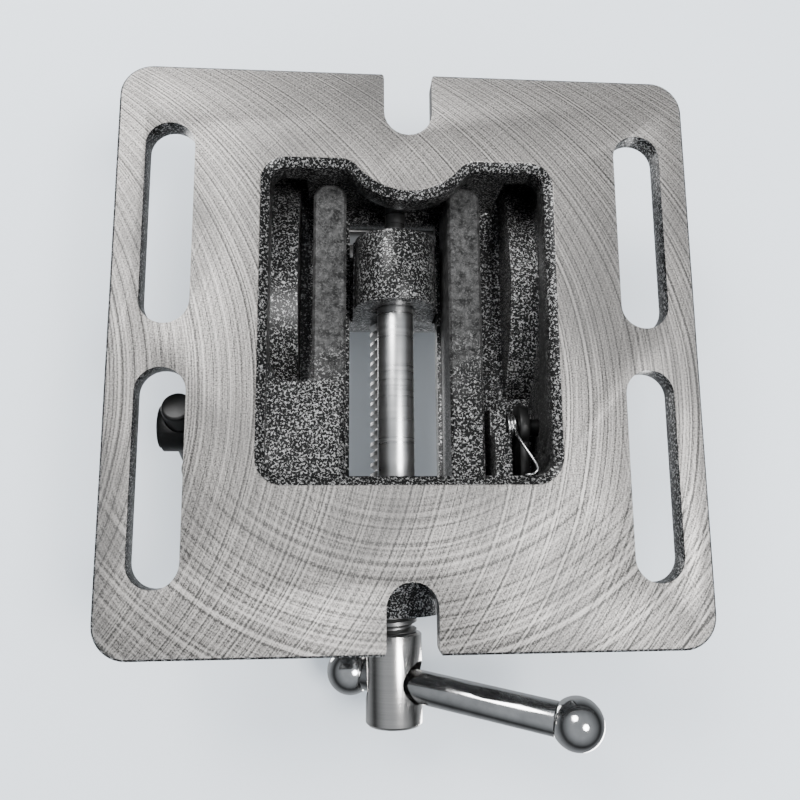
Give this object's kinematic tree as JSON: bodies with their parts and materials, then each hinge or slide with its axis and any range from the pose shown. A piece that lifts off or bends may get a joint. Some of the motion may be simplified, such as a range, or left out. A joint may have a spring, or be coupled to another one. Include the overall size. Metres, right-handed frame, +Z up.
{
  "type": "machine vise",
  "caption": "Quick-release drill-press vise: slotted square base, sliding jaw on a guide rod, screw with cross bar, and a lever that drops its half nut.",
  "frame": {"origin": "middle of the whole footprint, on the machined underside of the base", "axes": "+X to the release lever's side, +Y from the handle to the fixed jaw, +Z up"},
  "size_m": [0.16, 0.1873, 0.06],
  "materials": {
    "painted_iron": "black paint with a fine silver speckle, machined underneath",
    "ground_steel": "ground satin",
    "screw_steel": "dark turned steel",
    "bright_steel": "polished",
    "chrome": "bright plated",
    "black_oxide": "black oxide",
    "jaw_steel": "hardened and ground",
    "bronze": "cast and bored"
  },
  "bodies": {
    "base": {"base_casting": "painted_iron", "fixed_jaw_plate": "jaw_steel", "fixed_jaw_screw_left": "black_oxide", "fixed_jaw_screw_right": "black_oxide", "guide_rod": "ground_steel", "guide_rod_nut": "screw_steel", "pivot_pin_right": "black_oxide", "release_spring": "ground_steel", "nut_cover": "painted_iron", "nut_cover_screw_1": "black_oxide", "nut_cover_screw_2": "black_oxide", "nut_cover_screw_3": "black_oxide", "nut_cover_screw_4": "black_oxide"},
    "jaw": {"movable_jaw": "painted_iron", "movable_jaw_plate": "jaw_steel", "movable_jaw_screw_left": "black_oxide", "movable_jaw_screw_right": "black_oxide"},
    "screw": {"lead_screw": "screw_steel", "screw_collar": "screw_steel", "spindle_hub": "bright_steel", "hub_pin": "black_oxide"},
    "handle": {"tommy_bar": "chrome", "bar_ball_left": "chrome", "bar_ball_right": "chrome"},
    "release": {"release_shaft": "black_oxide", "release_lever_bar": "black_oxide", "release_lever_grip": "black_oxide", "lift_arm_left": "black_oxide", "lift_arm_right": "black_oxide", "lift_rod": "ground_steel"},
    "nut": {"half_nut": "bronze"}
  },
  "joints": [
    {"name": "jaw_slide", "type": "slide", "parent": "base", "child": "jaw", "axis": [0, 1, 0], "range_m": [-0.055, 0.0033]},
    {"name": "screw_turn", "type": "hinge", "parent": "jaw", "child": "screw", "pos_m": [0.0026, 0, 0.037], "axis": [0, 1, 0], "range_deg": [-6200, 363]},
    {"name": "bar_slide", "type": "slide", "parent": "screw", "child": "handle", "axis": [-0.8776, -0.1323, -0.4608], "range_m": [-0.0396, 0.0001]},
    {"name": "release_turn", "type": "hinge", "parent": "base", "child": "release", "pos_m": [0, -0.00531, 0.022], "axis": [1, 0, 0], "range_deg": [0, 7.8], "stiffness_Nm_per_rad": 0.8, "springref_deg": -28.65, "deforming": ["release_spring"]},
    {"name": "nut_slide", "type": "slide", "parent": "base", "child": "nut", "axis": [0, 0, 1], "range_m": [-0.0051, 0]}
  ],
  "couplings": [
    {"joint": "jaw_slide", "follows": "screw_turn", "m_per_rad": 0.00050532},
    {"joint": "nut_slide", "follows": "release_turn", "m_per_rad": -0.0359}
  ]
}
